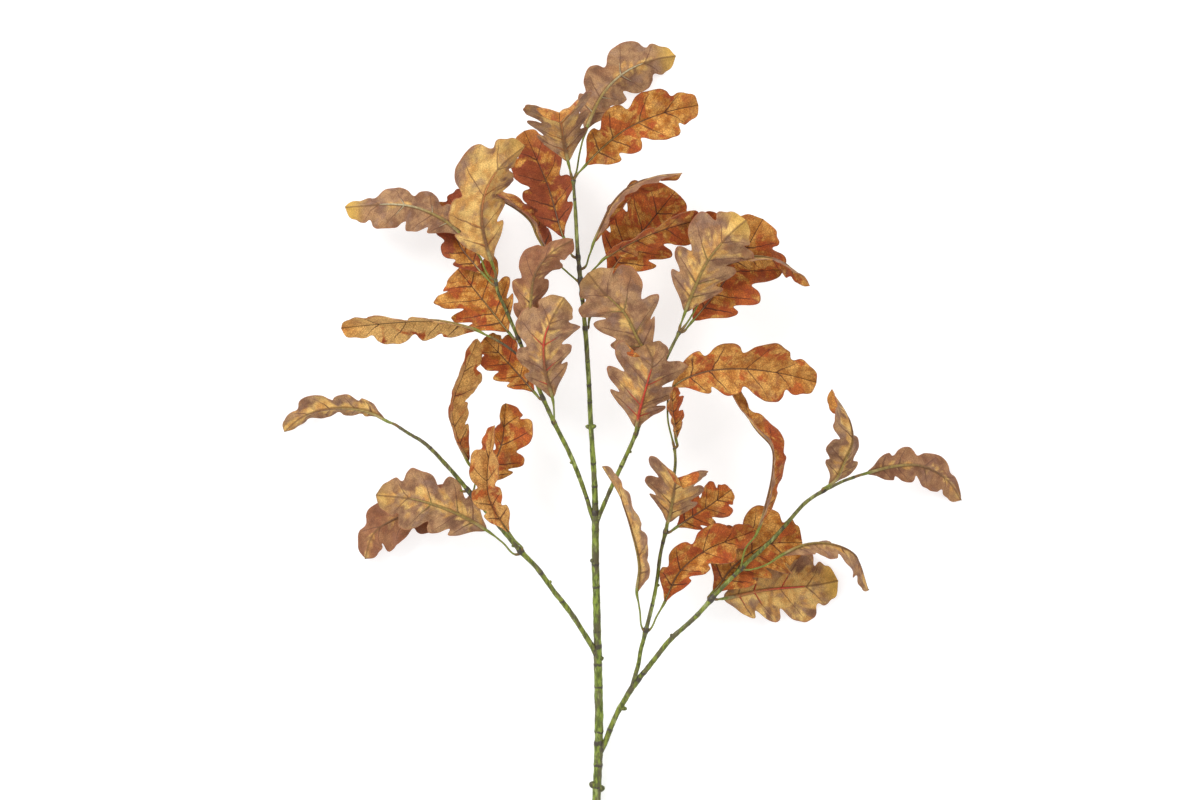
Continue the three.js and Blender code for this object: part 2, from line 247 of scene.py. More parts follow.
# %% How far each edge lies from the midrib
WANDER_WAVES = 2.2     # how often the lobes of one side slide back and forth
EDGE_WAVES = ((4.5, 2, 0.06), (13, 4, 0.035))  # unevenness of an edge: how many waves, lane, depth


def edge_reach(plan, along, side):
    """How far each point has slid along the leaf, and the way from the midrib to its edge."""
    seed = plan["seed"]
    slide = LOBE_WANDER * waves(along * WANDER_WAVES, side * 9, seed) * np.sin(math.pi * along)
    slid = np.clip(along + slide, 0, 1)
    left, right = (smooth_between(plan["knots"], plan[edge], slid) for edge in ("left", "right"))
    half = np.where(side[:, None] == 0, left, right)
    widest = max(np.linalg.norm(plan[edge], axis=1).max() for edge in ("left", "right"))
    share = np.clip(np.linalg.norm(half, axis=1) / widest, 0.2, 1)
    fill = FULLNESS * rise(0.25, 0.50, share) * rise(0.92, 0.78, slid)
    half = half * (share ** -fill * (1 + ROUND_TIP * rise(0.86, 0.985, slid) ** 2))[:, None]
    uneven = sum(depth * waves(along * many, side * 5 + lane, seed) for many, lane, depth in EDGE_WAVES)
    return slid, half * (1 + uneven[:, None])


# %% The sheet of one leaf
QUILT = 1.5 * MM       # how far the cloth puffs up between two veins
QUILT_WIDTH = 24 * MM  # a blade narrower than this is quilted less
RIB_DIP = 0.7 * MM     # how far it is pressed in along the midrib
RIB_DIP_WIDTH = 2.2 * MM
RIPPLE = 1.6 * MM      # slow unevenness of the pressed cloth
RIPPLE_SIZE = (21 * MM, 24 * MM)
CRINKLE = 0.45 * MM    # ... and its small crinkles
CRINKLE_SIZE = (6 * MM, 7 * MM)
CURL = 0.15            # how far an edge curls up or down, as a share of its distance from the rib
CURL_WAVES = 2.9
FLOOR_GAP = 0.3 * MM   # the lowest any cloth may lie
# how far apart the veins are at five places along a blade, as a share of its length
GAP_PLACES = (0, 0.25, 0.5, 0.75, 1)
VEIN_GAPS = (0.14, 0.17, 0.27, 0.19, 0.16)


def sheet_points(plan, along, across):
    """Points of a leaf's sheet with all that its print needs to know."""
    seed, length, knots = plan["seed"], plan["length"], plan["knots"]
    midrib = smooth_between(knots, plan["midrib"], along)
    facing = unit(smooth_between(knots, plan["facing"], along))
    ahead = unit(smooth_between(knots, np.gradient(plan["midrib"], knots, axis=0), along))
    side = np.where(across < 0, 0.0, 1.0)
    slid, half = edge_reach(plan, along, side)
    out = np.abs(across)
    flat = half * out[:, None]
    forward = np.einsum("ij,ij->i", flat, ahead)
    reach = np.sqrt(np.maximum(np.einsum("ij,ij->i", flat, flat) - forward**2, 0))
    width = np.linalg.norm(half, axis=1)
    vein = np.interp(slid + VEIN_LEAN * slid * (1 - out), VEIN_ENDS, VEIN_NUMBERS)
    vein_gap = np.interp(slid, GAP_PLACES, VEIN_GAPS) * length
    x, y = reach * np.sign(across), along * length + forward
    puff = QUILT * np.sin(math.pi * vein) ** 2 * rise(0.05, 0.45, out) * rise(0, QUILT_WIDTH, width)
    dip = RIB_DIP * (1 - np.exp(-reach / RIB_DIP_WIDTH))
    slow = RIPPLE * waves(x / RIPPLE_SIZE[0], y / RIPPLE_SIZE[1], seed + 50) * rise(0.0, 0.6, out)
    small = CRINKLE * waves(x / CRINKLE_SIZE[0], y / CRINKLE_SIZE[1], seed + 70) * rise(0.0, 0.3, out)
    curl = CURL * width * waves(along * CURL_WAVES, side * 7 + 1, seed + 90) * out**2.5
    points = midrib + flat + facing * (puff + dip + slow + small + curl)[:, None]
    points[:, 2] = np.maximum(points[:, 2], FLOOR_GAP)
    return {"points": points, "facing": facing, "x": x, "y": y, "vein": vein, "vein_gap": vein_gap}


# a first look at one sheet: the middle of its left edge, of its midrib and of its right edge
sample = sheet_points(plans[LEAVES[0]], np.full(3, 0.5), np.array([-1.0, 0.0, 1.0]))
print("width of", LEAVES[0], "at its middle, in mm:", round((sample["x"][2] - sample["x"][0]) / MM, 1))

# %% [markdown]
# ## The cloth blades
# A leaf is cloth 0.4 mm thick. It could be cut from a plane with a knife, but the outline, the fold
# and the quilting all follow the same two coordinates, so a fine grid is added as a primitive and
# its points are laid onto the sheet. The grid's first and last rows shrink to a point and are merged.
# Solidify then gives the cloth its thickness. It also lets the two faces differ: the printed front
# takes the first material, and the back and the cut edge take the second.

# %% Helpers for adding and keeping pieces


def clear_selection():
    """Deselects everything, because an operator acts on all that is selected."""
    if bpy.context.object and bpy.context.object.mode != "OBJECT":
        bpy.ops.object.mode_set(mode="OBJECT")
    bpy.ops.object.select_all(action="DESELECT")


def float_layer(mesh, name, values):
    """Stores one number for each point, for a finish to read."""
    layer = mesh.attributes.new(name, "FLOAT", "POINT")
    layer.data.foreach_set("value", np.asarray(values, np.float32))


def dye_layer(mesh, name, colours):
    """Stores one colour for each point."""
    layer = mesh.attributes.new(name, "FLOAT_COLOR", "POINT")
    rgba = np.hstack([colours, np.ones((len(colours), 1))])
    layer.data.foreach_set("color", np.asarray(rgba, np.float32).ravel())


# %% Lay a grid onto each leaf's sheet
ROWS_PER_RING = 4
COLUMNS = 26          # across the whole blade
CLOTH = 0.4 * MM
CROWD = 1.3           # columns crowd towards the midrib, where the cloth is pressed in
TIP_CROWD = 1.6       # ... and rows towards the very tip, which is round
WELD = 0.002 * MM     # points closer than this become one
SHEET_UNIT = 100 * MM  # one unit of the printed sheet that the leaves are cut from
SHEET_STEP = np.array([3.7, 5.3])  # how far apart on that sheet two leaves are cut
CLOTH_BEND = math.radians(50)  # the cloth is shaded smooth up to this angle


def add_blade(plan, rust, mauve, tip_gold):
    """Adds the cloth of one leaf: rust of its front, dust of its back, gold of the back of its tip."""
    clear_selection()
    rows = ROWS_PER_RING * (len(plan["knots"]) - 1)
    bpy.ops.mesh.primitive_grid_add(x_subdivisions=COLUMNS, y_subdivisions=rows, size=2)
    blade = bpy.context.object
    blade.name = plan["name"] + "_blade"
    mesh = blade.data
    mesh.name = blade.name
    flat = np.empty(len(mesh.vertices) * 3)
    mesh.vertices.foreach_get("co", flat)
    flat = flat.reshape(-1, 3)
    across = np.sign(flat[:, 0]) * np.abs(flat[:, 0]) ** CROWD
    steps = np.arange(len(plan["knots"]))
    place = (flat[:, 1] + 1) / 2 * steps[-1]
    near_tip = steps[-1] - np.maximum(steps[-1] - place, 0) ** TIP_CROWD
    place = np.where(place > steps[-1] - 1, near_tip, place)
    along = np.clip(np.interp(place, steps, plan["knots"]), 0, 1)
    sheet = sheet_points(plan, along, across)
    mesh.vertices.foreach_set("co", sheet["points"].ravel())
    same = np.ones(len(along))
    for name, values in (("along", along), ("edge", np.abs(across)), ("reach", sheet["x"] / MM),
                         ("vein", sheet["vein"]), ("vein_gap", sheet["vein_gap"] / MM),
                         ("rust", same * rust), ("mauve", same * mauve), ("tip_gold", same * tip_gold)):
        float_layer(mesh, name, values)
    cut = np.stack([sheet["x"], sheet["y"]], axis=1) / SHEET_UNIT + plan["seed"] * SHEET_STEP
    mesh.uv_layers[0].name = "Sheet"
    corners = np.empty(len(mesh.loops), int)
    mesh.loops.foreach_get("vertex_index", corners)
    mesh.uv_layers["Sheet"].data.foreach_set("uv", cut[corners].ravel())
    bpy.ops.object.mode_set(mode="EDIT")
    bpy.ops.mesh.select_all(action="SELECT")
    bpy.ops.mesh.remove_doubles(threshold=WELD)
    bpy.ops.object.mode_set(mode="OBJECT")
    wall = blade.modifiers.new("cloth thickness", "SOLIDIFY")
    wall.thickness = CLOTH
    wall.offset = 0
    wall.material_offset = 1
    wall.material_offset_rim = 1
    for finish in (leaf_front, leaf_back):
        mesh.materials.append(finish)
    bpy.ops.object.modifier_apply(modifier=wall.name)
    bpy.ops.object.shade_smooth_by_angle(angle=CLOTH_BEND)
    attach(blade, "root")
    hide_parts(plan["name"])
    return blade


# %% [markdown]
# ## Building a finish from nodes
# All colour here is procedural. A few short helpers keep each finish readable: every helper adds one
# node and hands back its output, so a finish reads like a recipe.

# %% Node helpers


def new_finish(name):
    """A new finish, its nodes, and the shader that they all lead to."""
    finish = bpy.data.materials.new(name)
    finish.use_nodes = True
    return finish, finish.node_tree, finish.node_tree.nodes["Principled BSDF"]


def feed(tree, socket, value):
    """Plugs another node's output into a socket, or sets a plain number or colour on it."""
    if isinstance(value, bpy.types.NodeSocket):
        tree.links.new(value, socket)
    elif isinstance(value, tuple) and len(value) == 3 and socket.type == "RGBA":
        socket.default_value = (*value, 1)
    else:
        socket.default_value = value


def layer(tree, name, output="Fac"):
    """Reads what a piece's points carry under a name."""
    node = tree.nodes.new("ShaderNodeAttribute")
    node.attribute_name = name
    return node.outputs[output]


def sheet_place(tree):
    """Where a point lies on the flat printed sheet."""
    node = tree.nodes.new("ShaderNodeUVMap")
    node.uv_map = "Sheet"
    return node.outputs["UV"]


def maths(tree, operation, *values):
    """One sum with two or three values."""
    node = tree.nodes.new("ShaderNodeMath")
    node.operation = operation
    for socket, value in zip(node.inputs, values):
        feed(tree, socket, value)
    return node.outputs[0]


def step(tree, value, low, high, to_low=0.0, to_high=1.0):
    """A smooth step of value from low to high."""
    node = tree.nodes.new("ShaderNodeMapRange")
    node.interpolation_type = "SMOOTHSTEP"
    for name, number in (("Value", value), ("From Min", low), ("From Max", high),
                         ("To Min", to_low), ("To Max", to_high)):
        feed(tree, node.inputs[name], number)
    return node.outputs["Result"]


def tint(tree, share, first, second, way="MIX"):
    """Mixes two colours."""
    node = tree.nodes.new("ShaderNodeMix")
    node.data_type = "RGBA"
    node.blend_type = way
    for number, value in ((0, share), (6, first), (7, second)):
        feed(tree, node.inputs[number], value)
    return node.outputs[2]


def scaled(tree, where, size, shift=(0.0, 0.0, 0.0)):
    """Coordinates moved or stretched: size is how many pattern units fit in one."""
    node = tree.nodes.new("ShaderNodeMapping")
    feed(tree, node.inputs["Vector"], where)
    node.inputs["Scale"].default_value = size
    node.inputs["Location"].default_value = shift
    return node.outputs["Vector"]


def clouds(tree, where, scale, detail=3.0, rough=0.55, warp=0.0):
    """Soft noise between 0 and 1, mostly near 0.5."""
    node = tree.nodes.new("ShaderNodeTexNoise")
    feed(tree, node.inputs["Vector"], where)
    for name, number in (("Scale", scale), ("Detail", detail), ("Roughness", rough), ("Distortion", warp)):
        node.inputs[name].default_value = number
    return node.outputs["Fac"]


def cells(tree, where, scale):
    """Distance from the borders of a net of small cells."""
    node = tree.nodes.new("ShaderNodeTexVoronoi")
    node.feature = "DISTANCE_TO_EDGE"
    feed(tree, node.inputs["Vector"], where)
    node.inputs["Scale"].default_value = scale
    return node.outputs["Distance"]


def joined(tree, x, y, z=0.0):
    """Three values as one colour or one place."""
    node = tree.nodes.new("ShaderNodeCombineXYZ")
    for socket, value in zip(node.inputs, (x, y, z)):
        feed(tree, socket, value)
    return node.outputs[0]


def raised(tree, height, strength, depth, below=None):
    """A bump of a given depth in metres, on top of another one if below is given."""
    node = tree.nodes.new("ShaderNodeBump")
    feed(tree, node.inputs["Height"], height)
    node.inputs["Strength"].default_value = strength
    node.inputs["Distance"].default_value = depth
    if below is not None:
        tree.links.new(below, node.inputs["Normal"])
    return node.outputs["Normal"]


# %% [markdown]
# ## The printed veins
# The print draws a dark midrib, one vein to every lobe, and a fine net between them. The grid's
# points carry how far they are from the midrib in millimetres and a vein number that is whole on a
# vein, so the distance from a vein is the distance from the nearest whole number times the gap.

# %% Vein lines, shared by both faces of the cloth


def from_vein(tree, times, wander):
    """Distance in mm from the nearest vein, or from veins packed times as close."""
    number = maths(tree, "MULTIPLY_ADD", layer(tree, "vein"), times, 0.5)
    number = maths(tree, "ADD", number, wander)
    off = maths(tree, "ABSOLUTE", maths(tree, "SUBTRACT", maths(tree, "FRACT", number), 0.5))
    return maths(tree, "MULTIPLY", off, maths(tree, "DIVIDE", layer(tree, "vein_gap"), times))


def vein_lines(tree, place, rib_width):
    """The midrib, the lobe veins, the small veins and the net, each 1 on the line and 0 off it."""
    reach = maths(tree, "ABSOLUTE", layer(tree, "reach"))
    along, edge = layer(tree, "along"), layer(tree, "edge")
    wander = maths(tree, "MULTIPLY_ADD", clouds(tree, place, 9, 2), 0.16, -0.08)
    half = step(tree, along, 0.0, 1.0, rib_width, rib_width * 0.35)
    midrib = step(tree, maths(tree, "DIVIDE", reach, half), 0.55, 1.25, 1.0, 0.0)
    fade = step(tree, edge, 0.70, 0.98, 1.0, 0.0)
    width = step(tree, edge, 0.0, 0.9, 0.80, 0.36)
    lobe = step(tree, maths(tree, "DIVIDE", from_vein(tree, 1.0, wander), width), 0.5, 1.3, 1.0, 0.0)
    lobe = maths(tree, "MULTIPLY", lobe, fade)
    small = step(tree, from_vein(tree, 3.0, maths(tree, "MULTIPLY", wander, 5.0)), 0.12, 0.42, 1.0, 0.0)
    small = maths(tree, "MULTIPLY", small, fade)
    net = step(tree, cells(tree, place, 42), 0.02, 0.16, 1.0, 0.0)
    return midrib, lobe, small, net


# %% [markdown]
# ## What both faces of the cloth share
# Front and back are the same cloth, so the weave, the uneven grain of the dye and the matt surface
# are made for both by the same helpers. Each finish could repeat those nodes, but then a change to
# one face is easily missed on the other.

# %% What both faces of the cloth share
WEAVE_THREADS = 260    # to one unit of the printed sheet, which is 100 mm
WEAVE_DEPTH = 0.06 * MM


def printed(tree, dyed, *inks):
    """Prints inks over a dye in turn: where each one goes, how strong it is, and its colour."""
    for where, strength, colour in inks:
        dyed = tint(tree, maths(tree, "MULTIPLY", where, strength), dyed, colour)
    return dyed


def grainy(tree, place, dyed, coarse_scale, coarse_range, fine_range):
    """Makes a dye uneven, once in coarse patches and once thread by thread."""
    coarse = step(tree, clouds(tree, place, coarse_scale, 3, 0.6), 0.38, 0.62, *coarse_range)
    fine = step(tree, clouds(tree, place, 105, 3, 0.8), 0.38, 0.62, *fine_range)
    grain = maths(tree, "MULTIPLY", coarse, fine)
    return tint(tree, 1.0, dyed, joined(tree, grain, grain, grain), "MULTIPLY")


def cloth_feel(tree, shader, place, pressed, depth, roughness, gloss, sheen):
    """The weave, what is pressed into it, and how matt the cloth is."""
    weave = clouds(tree, scaled(tree, place, (WEAVE_THREADS, WEAVE_THREADS, 1)), 1.0, 1)
    felt = raised(tree, weave, 0.35, WEAVE_DEPTH)
    feed(tree, shader.inputs["Normal"], raised(tree, pressed, 0.5, depth, felt))
    feed(tree, shader.inputs["Roughness"], step(tree, clouds(tree, place, 30, 2), 0.3, 0.7, *roughness))
    shader.inputs["Specular IOR Level"].default_value = gloss
    shader.inputs["Sheen Weight"].default_value = sheen
    shader.inputs["Sheen Roughness"].default_value = 0.5


# %% [markdown]
# ## The printed front
# The front is the bright face: gold by the stalk and along the midrib, rust red on the lobes, with
# reddish speckles and a thin dark rim where the hot cutter sealed the cloth. One picture stretched
# over all leaves would look copied, so clouds of noise mix the dyes and each leaf has its own share
# of rust. The cloth is matt, with a faint sheen and a weave that is only felt.

# %% The dyes and inks of the front
DEEP_GOLD = (0.40, 0.135, 0.016)
LIGHT_GOLD = (0.66, 0.330, 0.075)
PALE_GOLD = (0.78, 0.480, 0.160)
BRIGHT_RUST = (0.48, 0.118, 0.022)
DARK_RUST = (0.35, 0.066, 0.015)
DEEP_RED = (0.23, 0.055, 0.025)
# painted sheen: a mauve laid over the front in clouds, standing in for the satin sheen of the cloth
MAUVE_SHEEN_PAINT = (0.23, 0.095, 0.055)
FRONT_TIP = (0.56, 0.250, 0.050)
NET_INK = (0.17, 0.035, 0.012)
SPECK_INK = (0.15, 0.030, 0.012)
SMALL_VEIN_INK = (0.15, 0.035, 0.015)
LOBE_VEIN_INK = (0.060, 0.020, 0.012)
MIDRIB_INK = (0.045, 0.020, 0.013)
SEALED_RIM = (0.17, 0.050, 0.020)
FRONT_RIB_WIDTH = 1.15     # of half the printed midrib at the stalk, in mm

# %% The front of the cloth
leaf_front, tree, shader = new_finish("leaf_front")
place = sheet_place(tree)
midrib, lobe, small, net = vein_lines(tree, place, FRONT_RIB_WIDTH)
edge, along, rust = layer(tree, "edge"), layer(tree, "along"), layer(tree, "rust")
patches = step(tree, clouds(tree, place, 5.0, 4, 0.6, 0.5), 0.34, 0.66)
lean = maths(tree, "MULTIPLY_ADD", rust, 0.62, -0.36)
lean = maths(tree, "ADD", lean, step(tree, edge, 0.10, 0.90, -0.08, 0.16))
rusty = step(tree, maths(tree, "ADD", patches, lean), 0.34, 0.72)
gold = tint(tree, step(tree, clouds(tree, place, 11, 3), 0.38, 0.62), DEEP_GOLD, LIGHT_GOLD)
red = tint(tree, step(tree, clouds(tree, place, 8, 4, 0.6), 0.40, 0.62), BRIGHT_RUST, DARK_RUST)
gold = tint(tree, step(tree, rust, 0.25, -0.10, 0.0, 0.85), gold, PALE_GOLD)
red = tint(tree, step(tree, rust, 0.75, 1.0, 0.0, 0.65), red, DEEP_RED)
dyed = tint(tree, rusty, gold, red)
# painted sheen: mauve clouds mixed into the front's dye, in place of the cloth's satin sheen
painted_sheen = step(tree, clouds(tree, scaled(tree, place, (1, 1, 1), (31, 7, 0)), 4.2, 3), 0.56, 0.72, 0.0, 0.5)
dyed = tint(tree, painted_sheen, dyed, MAUVE_SHEEN_PAINT)
tip = maths(tree, "MULTIPLY", step(tree, along, 0.78, 0.95), layer(tree, "tip_gold"))
dyed = tint(tree, tip, dyed, FRONT_TIP)
dyed = grainy(tree, place, dyed, 13, (0.88, 1.12), (0.72, 1.24))
dyed = printed(tree, dyed, (net, 0.38, NET_INK))
speck = step(tree, clouds(tree, place, 95, 2, 0.6), 0.62, 0.72, 0.0, 0.5)
dyed = tint(tree, speck, dyed, SPECK_INK)
dyed = printed(tree, dyed, (small, 0.42, SMALL_VEIN_INK), (lobe, 0.78, LOBE_VEIN_INK),
               (midrib, 0.88, MIDRIB_INK))
dyed = tint(tree, step(tree, edge, 0.955, 0.99, 0.0, 0.55), dyed, SEALED_RIM)
feed(tree, shader.inputs["Base Color"], dyed)
pressed = maths(tree, "ADD", lobe, maths(tree, "MULTIPLY", net, 0.3))
cloth_feel(tree, shader, place, pressed, -0.12 * MM, (0.68, 0.84), 0.22, 0.04)
print("front dye nodes:", len(tree.nodes))

# %% [markdown]
# ## The paler back
# On the back the dyes only show through: dusty mauve and grey-brown clouds, with yellow-olive
# streaks that run out from the rib between the veins, and a pinkish edge. The streaks have to follow
# the veins, so their noise is stretched in vein numbers and not in millimetres.

# %% The dyes and inks of the back
LIGHT_TAN = (0.72, 0.455, 0.145)
DEEP_TAN = (0.55, 0.275, 0.075)
DARK_DUST = (0.212, 0.102, 0.054)
PALE_DUST = (0.405, 0.228, 0.108)
WARM_DUST = (0.34, 0.152, 0.060)
COOL_DUST = (0.255, 0.150, 0.105)
BACK_TIP = (0.60, 0.360, 0.080)
RUST_THROUGH = (0.26, 0.085, 0.035)
PALE_NET_INK = (0.16, 0.070, 0.040)
PALE_SMALL_INK = (0.14, 0.060, 0.038)
PALE_LOBE_INK = (0.12, 0.050, 0.032)
PALE_MIDRIB_INK = (0.15, 0.075, 0.030)
PINK_RIM = (0.34, 0.130, 0.070)
BACK_RIB_WIDTH = 2.4       # the back's midrib line is drawn wider, so that it shows as a dark band beside the moulded rib

# %% The back of the cloth
leaf_back, tree, shader = new_finish("leaf_back")
place = scaled(tree, sheet_place(tree), (1, 1, 1), (11.3, 4.9, 0))
midrib, lobe, small, net = vein_lines(tree, place, BACK_RIB_WIDTH)
edge, along, mauve = layer(tree, "edge"), layer(tree, "along"), layer(tree, "mauve")
streak_place = joined(tree, maths(tree, "MULTIPLY", layer(tree, "vein"), 2.4),
                      maths(tree, "MULTIPLY", layer(tree, "reach"), 0.055),
                      maths(tree, "MULTIPLY", layer(tree, "rust"), 40.0))
streaks = clouds(tree, streak_place, 1.1, 3, 0.5, 0.4)
patches = clouds(tree, place, 4.2, 3, 0.5, 0.6)
cover = maths(tree, "ADD", maths(tree, "MULTIPLY", streaks, 0.55), maths(tree, "MULTIPLY", patches, 0.45))
cover = maths(tree, "ADD", cover, maths(tree, "MULTIPLY_ADD", mauve, 0.26, -0.15))
cover = maths(tree, "ADD", cover, step(tree, edge, 0.05, 0.80, -0.09, 0.07))
dusty = step(tree, cover, 0.42, 0.56)
tan = tint(tree, step(tree, clouds(tree, place, 9, 3), 0.38, 0.62), LIGHT_TAN, DEEP_TAN)
dust = tint(tree, step(tree, clouds(tree, place, 7, 4, 0.6), 0.38, 0.62), DARK_DUST, PALE_DUST)
dyed = tint(tree, dusty, tan, dust)
warm = step(tree, clouds(tree, scaled(tree, place, (1, 1, 1), (5, 23, 0)), 5, 3), 0.52, 0.72, 0.0, 0.6)
dyed = tint(tree, warm, dyed, WARM_DUST)
cool = step(tree, clouds(tree, scaled(tree, place, (1, 1, 1), (17, 2, 0)), 6.5, 3), 0.50, 0.66, 0.0, 0.65)
dyed = tint(tree, cool, dyed, COOL_DUST)
tip = maths(tree, "MULTIPLY", step(tree, along, 0.80, 0.97), layer(tree, "tip_gold"))
dyed = tint(tree, tip, dyed, BACK_TIP)
rust_through = maths(tree, "MULTIPLY", step(tree, layer(tree, "rust"), 0.55, 1.0, 0.0, 0.55), dusty)
dyed = tint(tree, rust_through, dyed, RUST_THROUGH)
dyed = grainy(tree, place, dyed, 12, (0.90, 1.10), (0.76, 1.22))
dyed = printed(tree, dyed, (net, 0.12, PALE_NET_INK), (small, 0.24, PALE_SMALL_INK),
               (lobe, 0.62, PALE_LOBE_INK), (midrib, 0.62, PALE_MIDRIB_INK))
dyed = tint(tree, step(tree, edge, 0.94, 0.99, 0.0, 0.55), dyed, PINK_RIM)
feed(tree, shader.inputs["Base Color"], dyed)
cloth_feel(tree, shader, place, lobe, 0.15 * MM, (0.72, 0.88), 0.20, 0.05)
print("back dye nodes:", len(tree.nodes))

# %% [markdown]
# ## How each leaf is dyed
# The leaves are printed alike and dyed by hand, so no two match. The table says for every leaf how
# much rust its front took, how dusty its back is, how yellow the back of its tip is, and the colour
# of the rib on its back at the base and at its far end.

# %% The dyer's list
OLIVE = (0.27, 0.180, 0.042)
LIME = (0.185, 0.210, 0.030)
BROWN = (0.19, 0.085, 0.030)
RED = (0.50, 0.050, 0.022)
ORANGE = (0.42, 0.150, 0.035)
STRAW = (0.42, 0.35, 0.20)
DYES = {
    # leaf: rust of the front, dust of the back, gold of the tip, rib at the base, rib at the end
    "crown_leaf_1": (0.4, 0.95, 0.9, OLIVE, STRAW),
    "crown_leaf_2": (0.32, 0.5, 0.6, OLIVE, BROWN),
    "crown_leaf_3": (0.2, 0.65, 0.2, BROWN, ORANGE),
    "crown_leaf_4": (1.0, 0.7, 0.6, BROWN, BROWN),
    "crown_leaf_5": (0.90, 0.95, 0.0, OLIVE, BROWN),
    "crown_leaf_6": (0.80, 0.95, 0.4, BROWN, BROWN),
    "crown_leaf_7": (0.72, 0.5, 0.0, ORANGE, BROWN),
    "crown_leaf_8": (0.5, 0.4, 0.2, OLIVE, BROWN),
    "crown_leaf_9": (0.35, 0.3, 0.2, OLIVE, BROWN),
    "upper_right_leaf_1": (0.6, 0.92, 0.1, RED, RED),
    "upper_right_leaf_2": (0.5, 1.05, 0.3, OLIVE, OLIVE),
    "upper_right_leaf_3": (0.5, 0.68, 0.8, OLIVE, OLIVE),
    "upper_right_leaf_4": (0.70, 0.5, 0.5, BROWN, BROWN),
    "upper_right_leaf_5": (0.5, 0.6, 0.1, OLIVE, BROWN),
    "upper_left_leaf_1": (0.5, 0.80, 0.2, BROWN, RED),
    "upper_left_leaf_2": (0.35, 0.5, 0.2, BROWN, BROWN),
    "upper_left_leaf_3": (0.92, 0.95, 0.0, OLIVE, BROWN),
    "upper_left_leaf_4": (0.30, 0.4, 0.2, OLIVE, BROWN),
    "upper_left_leaf_5": (-0.05, 0.3, 0.7, OLIVE, BROWN),
    "upper_left_leaf_6": (0.15, 0.15, 0.5, BROWN, ORANGE),
    "upper_left_leaf_7": (0.6, 1.15, 1.0, OLIVE, STRAW),
    "upper_left_leaf_8": (1.0, 1.0, 0.0, BROWN, BROWN),
    "left_leaf_1": (0.5, 0.70, 0.3, OLIVE, OLIVE),
    "left_leaf_2": (0.08, 0.6, 0.0, ORANGE, BROWN),
    "left_leaf_3": (0.95, 1.0, 0.0, BROWN, BROWN),
    "left_leaf_4": (0.08, 0.5, 0.1, ORANGE, BROWN),
    "left_leaf_5": (0.45, 0.5, 0.1, BROWN, BROWN),
    "left_leaf_6": (0.40, 0.5, 0.2, OLIVE, BROWN),
    "right_leaf_1": (0.34, 0.5, 0.1, BROWN, BROWN),
    "right_leaf_2": (0.4, 0.36, 1.0, ORANGE, RED),
    "right_leaf_3": (0.45, 0.6, 0.1, BROWN, BROWN),
    "right_leaf_4": (0.60, 0.8, 0.1, OLIVE, BROWN),
    "right_leaf_5": (0.60, 0.65, 0.9, OLIVE, BROWN),
    "right_leaf_6": (0.8, 0.95, 0.2, OLIVE, BROWN),
    "right_twig_leaf_1": (0.62, 0.6, 0.1, BROWN, BROWN),
    "right_twig_leaf_2": (0.45, 0.45, 0.1, OLIVE, BROWN),
    "right_twig_leaf_3": (0.3, 0.55, 0.1, OLIVE, BROWN),
    "right_twig_leaf_4": (0.70, 0.5, 0.1, BROWN, BROWN),
    "right_twig_leaf_5": (0.42, 0.7, 0.1, OLIVE, BROWN),
    "right_twig_leaf_6": (0.17, 0.4, 0.2, BROWN, BROWN),
}
blades = [add_blade(plans[node], *DYES[node][:3]) for node in LEAVES]
print("blades:", len(blades), "faces on one:", len(blades[0].data.polygons))

# %% [markdown]
# ## Where everything is joined
# A stalk has to grow out of its stem. The CAD pieces stop a hair short of each other, because solids
# may not overlap, so each stalk and each branch is started on the middle line of the stem that it
# belongs to. The nearest stem to its foot is the right one. Its root lies a little before the place
# where it shows, so that it leaves the stem at a slant, as on a real twig.

# %% Find the stem that each piece grows from
BRANCH_SLIDE = 13 * MM     # a branch leaves its stem this far before the place where it shows
STALK_SLIDE = 2 * MM       # ... and a stalk
NEAREST_STEPS = 600        # places that are tried along a stem
CLOSE_ENOUGH = 12 * MM     # a foot that is further off than this grows from no stem


def along_spine(spine, where):
    """Places on the middle line of a stem, given how far from its foot they are."""
    return smooth_between(walk(spine[0]), spine[0], where)


def nearest_on(spine, point):
    """How far along a spine the nearest place to a point is, that place, and how far off it is."""
    where = np.linspace(0, walk(spine[0])[-1], NEAREST_STEPS)
    line = along_spine(spine, where)
    gaps = np.linalg.norm(line - point, axis=1)
    best = int(gaps.argmin())
    return where[best], line[best], gaps[best]


joints = {stem: [] for stem in STEMS}
roots = {}
for child in [*LEAVES, *STEMS]:
    start = plans[child]["stalk"][0] if child in plans else spines[child][0][0]
    others = {stem: nearest_on(spines[stem], start) for stem in STEMS if stem != child}
    parent = min(others, key=lambda stem: others[stem][2])
    place, root, gap = others[parent]
    if gap < CLOSE_ENOUGH:
        joints[parent].append((place, child in STEMS))
        back = BRANCH_SLIDE if child in STEMS else STALK_SLIDE
        roots[child] = along_spine(spines[parent], np.array([place - back]))[0]
print("joints on each stem:", {stem: len(found) for stem, found in joints.items()})

# %% [markdown]
# ## Stalks and ribs
# One plastic moulding makes the stalk, a thicker sleeve where the cloth starts, and the rib welded
# to the back. A skinned cylinder would work, but a curve with a round bevel is how wire and cord are
# usually made: its points carry a radius, so the sleeve and the taper are just numbers. The curve is
# then made a mesh, and each ring of it is given its dye.

# %% A tapered rod along points
ROD_ROUNDNESS = 3
STEM_ROUNDNESS = 8
ROD_BEND = math.radians(60)    # a moulding is shaded smooth up to this angle


def points_around(rod, points):
    """How many points of a rod's mesh lie around each point of its line."""
    return len(rod.data.vertices) // len(points)


